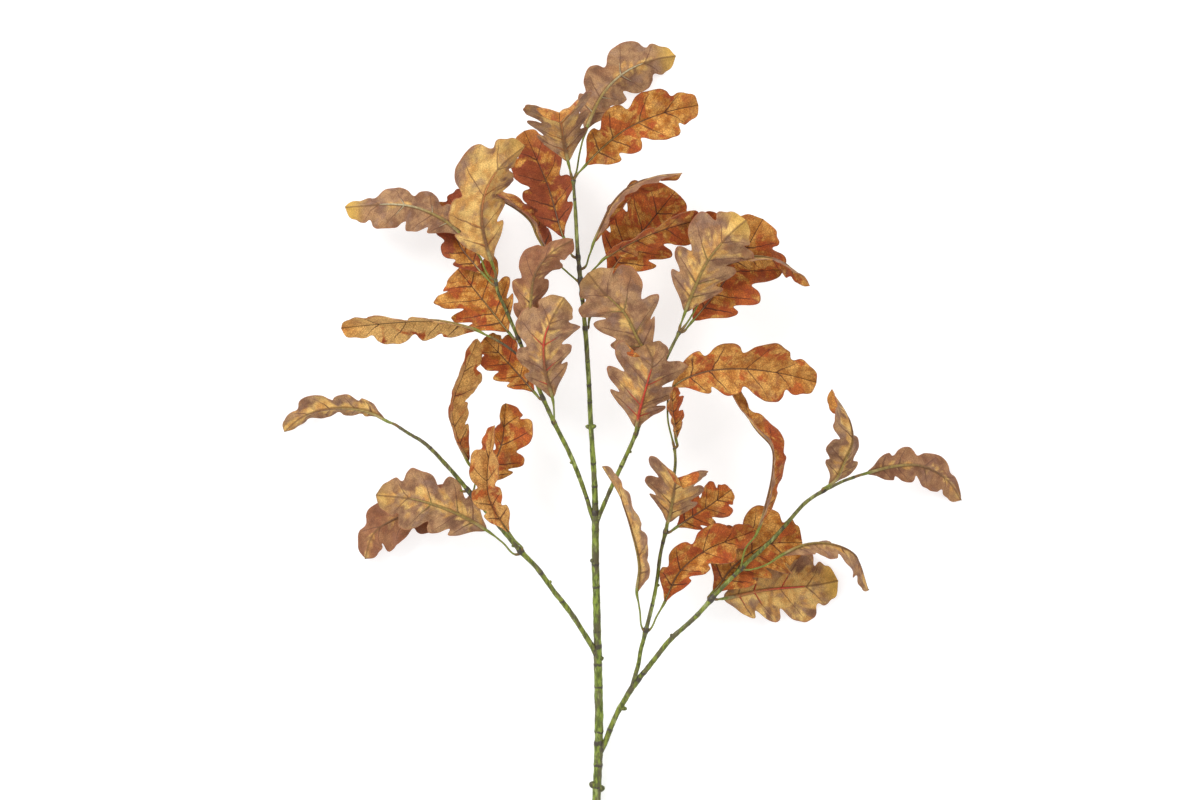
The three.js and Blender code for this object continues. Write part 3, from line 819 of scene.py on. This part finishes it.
def add_rod(name, points, radii, dyes=None, roundness=ROD_ROUNDNESS):
    """A closed rod along points, with a radius and perhaps a dye for each."""
    clear_selection()
    bpy.ops.curve.primitive_nurbs_path_add()
    rod = bpy.context.object
    rod.name = name
    rod.data.splines.clear()
    line = rod.data.splines.new("POLY")
    line.points.add(len(points) - 1)
    line.points.foreach_set("co", np.hstack([points, np.ones((len(points), 1))]).ravel())
    line.points.foreach_set("radius", np.asarray(radii) / MM)
    rod.data.dimensions = "3D"
    rod.data.bevel_depth = MM
    rod.data.bevel_resolution = roundness
    bpy.ops.object.convert(target="MESH")
    rod = bpy.context.object
    rod.data.name = name
    bpy.ops.object.mode_set(mode="EDIT")
    bpy.ops.mesh.select_all(action="SELECT")
    bpy.ops.mesh.fill_holes(sides=0)
    bpy.ops.mesh.select_all(action="SELECT")
    bpy.ops.mesh.normals_make_consistent(inside=False)
    bpy.ops.object.mode_set(mode="OBJECT")
    if dyes is not None:
        dye_layer(rod.data, "dye", np.repeat(dyes, points_around(rod, points), axis=0))
    return rod


def join_up(piece, others, finish):
    """Joins others into a piece and gives the whole its finish."""
    clear_selection()
    for part in (piece, *others):
        part.select_set(True)
    bpy.context.view_layer.objects.active = piece
    bpy.ops.object.join()
    piece.data.materials.clear()
    piece.data.materials.append(finish)
    bpy.ops.object.shade_smooth_by_angle(angle=ROD_BEND)


def mixed(first, second, shares):
    """Two dyes mixed by a share for each point."""
    first, second = np.asarray(first), np.asarray(second)
    return first + (second - first) * shares[:, None]


# %% The lines of a stalk and of its rib
STALK_RADIUS = 0.85 * MM
STALK_POINT_GAP = 1.5 * MM
FLARE = 0.45 * MM          # how much thicker a stalk is where it grows out of its stem
FLARE_LENGTH = 2.2 * MM
SLEEVE_RADIUS = 1.45 * MM
SLEEVE_LENGTH = 10 * MM    # of the sleeve's part on the stalk
RIB_RADII = (1.50 * MM, 0.55 * MM)
RIB_START = 0.012          # where the moulded rib starts, as a share of the blade
RIB_END = 0.72             # ... and where it stops
RIB_POINTS = 46
RIB_LAST_RADII = np.array([0.85, 0.6, 0.25])  # the last three points make a blunt end
SUNK = 0.55                # how far the rib's middle lies behind the cloth, in its own radii


def stalk_line(plan, facing):
    """The middle line, the radii and the flare of a stalk, from inside its stem to the cloth."""
    line = np.vstack([roots[plan["name"]], plan["stalk"], plan["midrib"][0]])
    hidden = np.linalg.norm(line[1] - line[0])
    walked = walk(line)
    where = np.linspace(0, walked[-1], max(8, int(walked[-1] / STALK_POINT_GAP)))
    flare = np.exp(-(np.maximum(where - hidden, 0) / FLARE_LENGTH) ** 2)
    sleeve = rise(-SLEEVE_LENGTH, 0, where - walked[-1])
    radii = (STALK_RADIUS + FLARE * flare) * (1 - sleeve) + SLEEVE_RADIUS * sleeve
    line = smooth_between(walked, line, where) - facing * (sleeve * SUNK * SLEEVE_RADIUS)[:, None]
    return line, radii, flare


def rib_line(plan):
    """The middle line, the radii and the places of a rib, and the way its cloth faces at the stalk."""
    along = np.linspace(RIB_START, RIB_END, RIB_POINTS)
    sheet = sheet_points(plan, along, np.zeros(RIB_POINTS))
    sleeve = rise(0.10, 0.03, along)
    radii = np.interp(along, [0, RIB_END], RIB_RADII)
    radii = radii * (1 - sleeve) + SLEEVE_RADIUS * sleeve
    radii[-3:] *= RIB_LAST_RADII
    line = sheet["points"] - sheet["facing"] * (radii * SUNK)[:, None]
    return line, radii, along, sheet["facing"][0]


# %% Stalk, sleeve and rib of each leaf
STRIPS = ((0.17, -1), (0.17, 1), (0.325, -1), (0.325, 1), (0.595, -1), (0.595, 1))
STRIP_REACH = 0.42         # how far a moulded side vein runs towards the edge
STRIP_RADIUS = 0.60 * MM
STRIP_POINTS = 12
TAN = (0.33, 0.25, 0.09)


def rib_dyes(along, base_dye, end_dye):
    """Lime at the stalk, then tan, then the dye of the base, which turns into that of the end."""
    dyes = mixed(base_dye, end_dye, rise(0.25, 0.6, along))
    dyes = mixed(dyes, TAN, rise(0.15, 0.08, along))
    return mixed(dyes, LIME, rise(0.05, 0.03, along))


def add_strips(plan, dye):
    """The moulded side veins; each leaf lacks some of them, as if they had come off."""
    strips = []
    for place, side in STRIPS:
        if (plan["seed"] * 7 + int(place * 40) + side) % 3 == 0:
            continue
        across = np.linspace(0.0, STRIP_REACH, STRIP_POINTS) * side
        out = np.abs(across)
        sheet = sheet_points(plan, place / (1 + VEIN_LEAN * (1 - out)), across)
        radii = STRIP_RADIUS * (1 - 0.8 * out / STRIP_REACH)
        line = sheet["points"] - sheet["facing"] * (CLOTH / 2 + radii * 0.3)[:, None]
        strips.append(add_rod("strip", line, radii, np.tile(dye, (STRIP_POINTS, 1))))
    return strips


def add_rib(plan, base_dye, end_dye):
    """Adds the stalk, the sleeve and the rib of a leaf as one moulding."""
    line, radii, along, facing = rib_line(plan)
    stalk, stalk_radii, flare = stalk_line(plan, facing)
    dyes = rib_dyes(along, base_dye, end_dye)
    rod = add_rod(plan["name"] + "_rib", np.vstack([stalk, line]), np.concatenate([stalk_radii, radii]),
                  np.vstack([mixed(LIME, BROWN, 0.8 * flare), dyes]))
    join_up(rod, add_strips(plan, dyes[-8] * 0.9), rib_plastic)
    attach(rod, "root")
    return rod


# %% [markdown]
# ## Plastic for ribs and stalks
# Soft polyethylene with its colour in it, brushed over with a darker wash. It is smoother than the
# cloth and catches a thin highlight. The dye comes from the mesh, and noise breaks it up.

# %% Rib plastic
RIB_WASH = (0.12, 0.060, 0.030)
rib_plastic, tree, shader = new_finish("rib_plastic")
spot = tree.nodes.new("ShaderNodeTexCoord").outputs["Object"]
wash = step(tree, clouds(tree, spot, 420, 3, 0.6), 0.3, 0.7, 0.72, 1.2)
dyed = tint(tree, 1.0, layer(tree, "dye", "Color"), joined(tree, wash, wash, wash), "MULTIPLY")
dirt = step(tree, clouds(tree, spot, 190, 2), 0.58, 0.74, 0.0, 0.45)
dyed = tint(tree, dirt, dyed, RIB_WASH)
feed(tree, shader.inputs["Base Color"], dyed)
feed(tree, shader.inputs["Normal"], raised(tree, clouds(tree, spot, 900, 2), 0.3, 0.08 * MM))
feed(tree, shader.inputs["Roughness"], step(tree, clouds(tree, spot, 300, 2), 0.3, 0.7, 0.38, 0.56))
shader.inputs["Specular IOR Level"].default_value = 0.4
ribs = [add_rib(plans[node], *DYES[node][3:]) for node in LEAVES]
print("ribs:", len(ribs), "faces on one:", len(ribs[0].data.polygons))

# %% [markdown]
# ## Stems
# The stems are moulded over wire to look like young wood: swollen joints, a dark ring where each
# stalk or branch leaves, and small buds. A plain tapered cylinder would look like a straw. The same
# rod tool is used with many more points, and the radius of each point carries the swellings.

# %% What the stems are like
POINT_GAP = 1.2 * MM
SLIMMER = 0.90           # leaves room for the swellings
RING_GAPS = {"main_stem": 23 * MM}
USUAL_RING_GAP = 46 * MM
BUDS = (
    # stem, mm from its foot, angle from sideways, length in mm, radius in mm
    ("main_stem", 384, 0.1, 5.0, 2.2), ("main_stem", 384, 3.0, 5.2, 2.2),
    ("main_stem", 53, 0.2, 7.4, 3.4), ("main_stem", 56, 2.9, 7.6, 3.6),
    ("main_stem", 172, 0.3, 5.6, 2.6), ("main_stem", 262, 2.7, 5.4, 2.4),
    ("right_branch", 36, 0.0, 6.2, 2.2), ("right_branch", 118, 2.8, 3.8, 1.8),
    ("left_branch", 71, 0.3, 3.9, 1.8), ("left_branch", 118, 2.8, 3.6, 1.7),
    ("upper_left_branch", 48, 2.8, 3.6, 1.6), ("upper_right_branch", 62, 0.2, 3.3, 1.6),
    ("right_twig", 88, 0.3, 3.2, 1.5),
)
MAIN_GREEN = (0.155, 0.200, 0.026)
BRANCH_GREEN = (0.142, 0.168, 0.018)
TWIG_BROWN = (0.085, 0.060, 0.030)
OLD_WOOD = (0.105, 0.085, 0.028)


def ring_places(stem, length):
    """Uneven places of the ring scars along a stem."""
    places, here, turn = [], 14 * MM, STEMS.index(stem) + 1
    gap = RING_GAPS.get(stem, USUAL_RING_GAP)
    while here < length - 10 * MM:
        places.append(here)
        here += gap * (1 + 0.35 * math.sin(4.7 * len(places) + turn))
    return places


def bell(away, width):
    """1 in the middle of a swelling and close to 0 further away than its width."""
    return np.exp(-(away / width) ** 2)


# %% The line, the radii and the scars of a stem
RING_WIDTH = 1.1 * MM
RING_SWELL = 0.10          # as a share of the radius, as are the next three
BRANCH_SWELL = 0.16        # below a branch the stem swells over a long way
STALK_SWELL = 0.28         # below a stalk over a short one
BUMPS = 0.035
BRANCH_COLLAR = 9 * MM
STALK_COLLAR = 4 * MM
COLLAR_END = 2.0 * MM      # above the joint it is slim again at once
FOOT_REACH = (24 * MM, 12 * MM)  # the thick foot of a branch fades out between these two
END_ROUND = 1.6 * MM       # the end of a stem is rounded over this length


def stem_profile(stem):
    """Points along a stem, their radii with all swellings, and how scarred the skin is at each."""
    middles, ring_radii = spines[stem]
    walked = walk(middles)
    length = walked[-1]
    number = STEMS.index(stem)
    where = np.linspace(0, length, int(length / POINT_GAP))
    radii = np.interp(where, walked, ring_radii) * SLIMMER
    if stem != "main_stem":
        radii = np.maximum(radii, ring_radii[1] * rise(*FOOT_REACH, where))
    scar = np.zeros(len(where))
    for count, place in enumerate(ring_places(stem, length)):
        strong = 0.25 + 0.75 * abs(math.sin(2.3 * count + number))
        radii = radii * (1 + RING_SWELL * strong * bell(where - place, RING_WIDTH))
        scar = np.maximum(scar, 0.8 * strong * bell(where - place + 0.8 * MM, 1.4 * MM))
    for place, big in joints[stem]:
        below = bell(where - place, BRANCH_COLLAR if big else STALK_COLLAR)
        collar = np.where(where < place, below, bell(where - place, COLLAR_END))
        radii = radii * (1 + (BRANCH_SWELL if big else STALK_SWELL) * collar)
        scar = np.maximum(scar, 0.9 * bell(where - place, 2.4 * MM))
    radii = radii * (1 + BUMPS * waves(where / (7 * MM), where * 0, number + 200))
    line = along_spine(spines[stem], where)
    if stem != "main_stem":
        line = np.vstack([roots[stem], line])
        radii = np.concatenate([[radii[0] * 0.8], radii])
        scar = np.concatenate([[1.0], scar])
        where = np.concatenate([[0], where])
    radii = radii * np.sqrt(np.clip((length - where) / END_ROUND, 0.04, 1))
    return line, radii, scar, where / length


# %% How a bud and a stem are made
SKIN_BUMPS = 0.055
BUD_POINTS = 7
BUD_SCAR = 0.35


def roughen(rod, line, seed):
    """Moves the skin of a rod in and out a little, and less where it is thin."""
    points = np.empty(len(rod.data.vertices) * 3)
    rod.data.vertices.foreach_get("co", points)
    points = points.reshape(-1, 3)
    centre = np.repeat(line, points_around(rod, line), axis=0)
    outward = points - centre
    thick = np.linalg.norm(outward, axis=1)
    bumps = waves(points[:, 0] / (3.0 * MM) + points[:, 2] / (3.1 * MM), points[:, 1] / (7.0 * MM), seed)
    points = centre + outward * (1 + SKIN_BUMPS * bumps * rise(0.5 * MM, 1.5 * MM, thick))[:, None]
    rod.data.vertices.foreach_set("co", points.ravel())


def add_bud(stem, place, angle, length, radius):
    """A bud that stands out of a stem: place in mm from its foot, angle from sideways."""
    root, ahead = along_spine(spines[stem], np.array([place, place + 1]) * MM)
    ahead = unit(ahead - root)
    aside = unit(np.cross(ahead, np.array([0, 0, 1.0])))
    outward = unit(aside * math.cos(angle) + np.cross(aside, ahead) * math.sin(angle) + ahead * 0.35)
    shares = np.linspace(0, 1, BUD_POINTS)
    line = root + outward * (shares * length * MM)[:, None]
    radii = np.interp(shares, [0, 0.6, 0.85, 1], [1, 0.95, 0.72, 0.35]) * radius * MM
    bud = add_rod("bud", line, radii, np.tile(BRANCH_GREEN, (BUD_POINTS, 1)))
    float_layer(bud.data, "scar", np.full(len(bud.data.vertices), BUD_SCAR))
    return bud


def add_stem(stem):
    """Adds a stem with its buds; towards its end the green turns into old wood."""
    line, radii, scar, share = stem_profile(stem)
    rod = add_rod(stem + "_skin", line, radii, roundness=STEM_ROUNDNESS)
    roughen(rod, line, STEMS.index(stem) + 300)
    around = points_around(rod, line)
    green = {"main_stem": MAIN_GREEN, "upper_left_twig": TWIG_BROWN}.get(stem, BRANCH_GREEN)
    dyes = mixed(green, OLD_WOOD, rise(0.45, 0.95, share) * 0.6)
    float_layer(rod.data, "scar", np.repeat(scar, around))
    dye_layer(rod.data, "dye", np.repeat(dyes, around, axis=0))
    join_up(rod, [add_bud(*bud) for bud in BUDS if bud[0] == stem], stem_plastic)
    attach(rod, "root")
    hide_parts(stem)
    return rod


# %% [markdown]
# ## Painted stem plastic
# The moulding is lime green. A brown-violet wash is brushed on and wiped off, so it stays in the
# rings and in long uneven patches. Streaks run along the stem, because that is how the brush went;
# the pale green ones among them are painted highlights.

# %% Stem plastic
# painted highlight: a pale green standing in for the shine of the glossy stem
PAINTED_HIGHLIGHT_GREEN = (0.40, 0.46, 0.16)
BRUSHED_WASH = (0.098, 0.076, 0.040)
SCAR_BROWN = (0.050, 0.036, 0.028)
stem_plastic, tree, shader = new_finish("stem_plastic")
spot = tree.nodes.new("ShaderNodeTexCoord").outputs["Object"]
stretched = scaled(tree, spot, (1.0, 0.32, 1.0))
shade = step(tree, clouds(tree, stretched, 330, 4, 0.6), 0.38, 0.62, 0.50, 1.50)
dyed = tint(tree, 1.0, layer(tree, "dye", "Color"), joined(tree, shade, shade, shade), "MULTIPLY")
# painted highlight: pale green streaks mixed into the stem's dye along its length
painted_highlight = step(tree, clouds(tree, scaled(tree, spot, (1, 0.3, 1), (3, 1, 2)), 260, 3), 0.56, 0.68, 0.0, 0.55)
dyed = tint(tree, painted_highlight, dyed, PAINTED_HIGHLIGHT_GREEN)
wash = step(tree, clouds(tree, scaled(tree, spot, (1, 0.4, 1)), 110, 4, 0.65), 0.50, 0.60, 0.0, 0.78)
dyed = tint(tree, wash, dyed, BRUSHED_WASH)
fray = maths(tree, "MULTIPLY_ADD", clouds(tree, spot, 520, 3), 1.3, -0.72)
ragged = maths(tree, "ADD", layer(tree, "scar"), fray)
dyed = tint(tree, step(tree, ragged, 0.22, 0.50, 0.0, 0.90), dyed, SCAR_BROWN)
feed(tree, shader.inputs["Base Color"], dyed)
rough_skin = maths(tree, "ADD", clouds(tree, stretched, 600, 3), maths(tree, "MULTIPLY", ragged, 0.6))
feed(tree, shader.inputs["Normal"], raised(tree, rough_skin, 0.5, 0.25 * MM))
feed(tree, shader.inputs["Roughness"], step(tree, clouds(tree, spot, 200, 2), 0.3, 0.7, 0.34, 0.58))
shader.inputs["Specular IOR Level"].default_value = 0.45
stems = [add_stem(stem) for stem in STEMS]
main = stems[STEMS.index("main_stem")]
print("stems:", len(stems), "faces on the main stem:", len(main.data.polygons))

# %% [markdown]
# ## Floor, light and camera
# The spray lies on a pale table in soft light from all round, seen from straight above. The lens is
# long, so that nothing leans outwards. The cut end of the main stem runs out at the foot of the
# picture.

# %% Floor
FLOOR_SIZE = 9.0         # metres
FLOOR_GLOW = 0.64        # the floor glows a little, so that shadows on it stay faint
clear_selection()
bpy.ops.mesh.primitive_plane_add(size=FLOOR_SIZE)
floor = bpy.context.object
floor.name = "floor"
floor_paint, tree, shader = new_finish("floor_paint")
shader.inputs["Base Color"].default_value = (0.50, 0.50, 0.50, 1)
shader.inputs["Roughness"].default_value = 0.95
shader.inputs["Specular IOR Level"].default_value = 0.1
shader.inputs["Emission Color"].default_value = (1, 1, 1, 1)
shader.inputs["Emission Strength"].default_value = FLOOR_GLOW
floor.data.materials.append(floor_paint)
print("floor, metres across:", floor.dimensions.x)

# %% Light
SOFTBOXES = (
    # across, along, up in metres, size, watts
    (-2.0, 1.8, 2.4, 1.6, 84),
    (2.3, 1.4, 2.4, 2.0, 32),
    (-1.6, -2.4, 2.2, 2.0, 16),
    (1.8, -2.3, 2.2, 2.0, 14),
)
ROOM_LIGHT = 0.60
for across, along, up, size, watts in SOFTBOXES:
    bpy.ops.object.light_add(type="AREA", location=(across, along, up))
    box = bpy.context.object
    box.data.size = size
    box.data.energy = watts
    box.rotation_euler = Vector((-across, -along, -up)).to_track_quat("-Z", "Y").to_euler()
sky = bpy.data.worlds.new("soft_room")
sky.use_nodes = True
sky.node_tree.nodes["Background"].inputs["Color"].default_value = (1, 1, 1, 1)
sky.node_tree.nodes["Background"].inputs["Strength"].default_value = ROOM_LIGHT
bpy.context.scene.world = sky
bpy.context.scene.view_settings.view_transform = "Standard"
print("softboxes:", len(SOFTBOXES))

# %% Camera
VIEW_HEIGHT = 8.0        # metres above the leaves
LEAF_HEIGHT = 0.06       # where most leaves are, in metres above the floor
VIEW_WIDTH = 1.08        # metres across the picture at that height
ASIDE = -0.0206          # the middle of the picture, from the middle of the spray
AHEAD = 0.0411
SENSOR = 36.0            # mm
FAR_LIMIT = 60           # metres, past the furthest corner of the floor
middle = (cad_box[0] + cad_box[1]) / 2
above = (middle.x + ASIDE, middle.y + AHEAD, LEAF_HEIGHT + VIEW_HEIGHT)
bpy.ops.object.camera_add(location=above, rotation=(0, 0, 0))
camera = bpy.context.object
camera.data.sensor_width = SENSOR
camera.data.lens = SENSOR * VIEW_HEIGHT / VIEW_WIDTH
camera.data.clip_end = FAR_LIMIT
bpy.context.scene.camera = camera
print("lens in mm:", round(camera.data.lens, 1))
